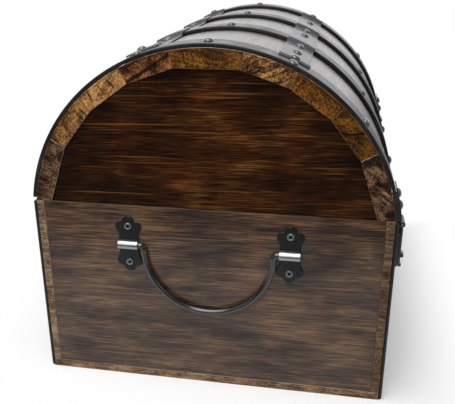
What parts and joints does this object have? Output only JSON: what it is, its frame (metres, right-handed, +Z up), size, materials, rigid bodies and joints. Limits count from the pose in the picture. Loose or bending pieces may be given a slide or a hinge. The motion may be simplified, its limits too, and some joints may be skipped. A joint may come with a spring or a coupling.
{
  "type": "treasure chest",
  "caption": "Dark wooden chest with a domed stave lid, black iron bands and two lengthwise straps with domed nails, hasps on the end bands and a bail handle on each end.",
  "frame": {"origin": "on the floor, under the middle of the box", "axes": "+X along the chest, the front with the hasps faces -Y, +Z up"},
  "size_m": [0.3844, 0.3258, 0.3169],
  "materials": {
    "chest_wood": "satin varnish",
    "lid_wood": "gloss varnish",
    "black_iron": "black lacquer",
    "steel_pins": "dull"
  },
  "bodies": {
    "box": {"front_board": "chest_wood", "back_board": "chest_wood", "bottom_board": "chest_wood", "left_end_panel": "chest_wood", "right_end_panel": "chest_wood", "front_strap_1": "black_iron", "front_strap_2": "black_iron", "front_strap_3": "black_iron", "front_strap_4": "black_iron", "back_strap_1": "black_iron", "back_strap_2": "black_iron", "back_strap_3": "black_iron", "back_strap_4": "black_iron", "left_hinge_box_leaf": "black_iron", "left_keeper_plate": "black_iron", "left_front_handle_plate": "black_iron", "left_back_handle_plate": "black_iron", "right_hinge_box_leaf": "black_iron", "right_keeper_plate": "black_iron", "right_front_handle_plate": "black_iron", "right_back_handle_plate": "black_iron", "box_strap_nails": "black_iron", "keeper_rivets": "black_iron", "hinge_box_nails": "black_iron", "left_hinge_pin": "steel_pins", "right_hinge_pin": "steel_pins", "handle_screws": "steel_pins"},
    "lid": {"stave_1": "lid_wood", "stave_2": "lid_wood", "stave_3": "lid_wood", "stave_4": "lid_wood", "stave_5": "lid_wood", "stave_6": "lid_wood", "stave_7": "lid_wood", "stave_8": "lid_wood", "stave_9": "lid_wood", "lid_left_end_panel": "chest_wood", "lid_right_end_panel": "chest_wood", "lid_band_1": "black_iron", "lid_band_2": "black_iron", "lid_band_3": "black_iron", "lid_band_4": "black_iron", "front_dome_strap": "black_iron", "back_dome_strap": "black_iron", "lid_band_nails": "black_iron", "dome_strap_nails": "black_iron", "hasp_nails": "black_iron", "hinge_lid_nails": "black_iron", "left_hinge_lid_leaf": "black_iron", "left_hasp_leaf": "black_iron", "left_hasp_pin": "steel_pins", "right_hinge_lid_leaf": "black_iron", "right_hasp_leaf": "black_iron", "right_hasp_pin": "steel_pins"},
    "left_tongue": {"left_hasp_tongue": "black_iron"},
    "right_tongue": {"right_hasp_tongue": "black_iron"},
    "left_knob": {"left_turn_knob": "black_iron"},
    "right_knob": {"right_turn_knob": "black_iron"},
    "left_handle": {"left_bail": "black_iron"},
    "right_handle": {"right_bail": "black_iron"}
  },
  "joints": [
    {"name": "lid_hinge", "type": "hinge", "parent": "box", "child": "lid", "pos_m": [0, 0.1583, 0.175], "axis": [-1, 0, 0], "range_deg": [0, 100]},
    {"name": "left_tongue_hinge", "type": "hinge", "parent": "lid", "child": "left_tongue", "pos_m": [-0.1725, -0.1606, 0.1715], "axis": [-1, 0, 0], "range_deg": [0, 150]},
    {"name": "left_knob_turn", "type": "hinge", "parent": "box", "child": "left_knob", "pos_m": [-0.1725, -0.1621, 0.1415], "axis": [0, -1, 0], "range_deg": [0, 90]},
    {"name": "left_handle_swing", "type": "hinge", "parent": "box", "child": "left_handle", "pos_m": [-0.188, 0, 0.139], "axis": [0, 1, 0], "range_deg": [0, 170]},
    {"name": "right_tongue_hinge", "type": "hinge", "parent": "lid", "child": "right_tongue", "pos_m": [0.1725, -0.1606, 0.1715], "axis": [-1, 0, 0], "range_deg": [0, 150]},
    {"name": "right_knob_turn", "type": "hinge", "parent": "box", "child": "right_knob", "pos_m": [0.1725, -0.1621, 0.1415], "axis": [0, -1, 0], "range_deg": [0, 90]},
    {"name": "right_handle_swing", "type": "hinge", "parent": "box", "child": "right_handle", "pos_m": [0.188, 0, 0.139], "axis": [0, -1, 0], "range_deg": [0, 170]}
  ]
}
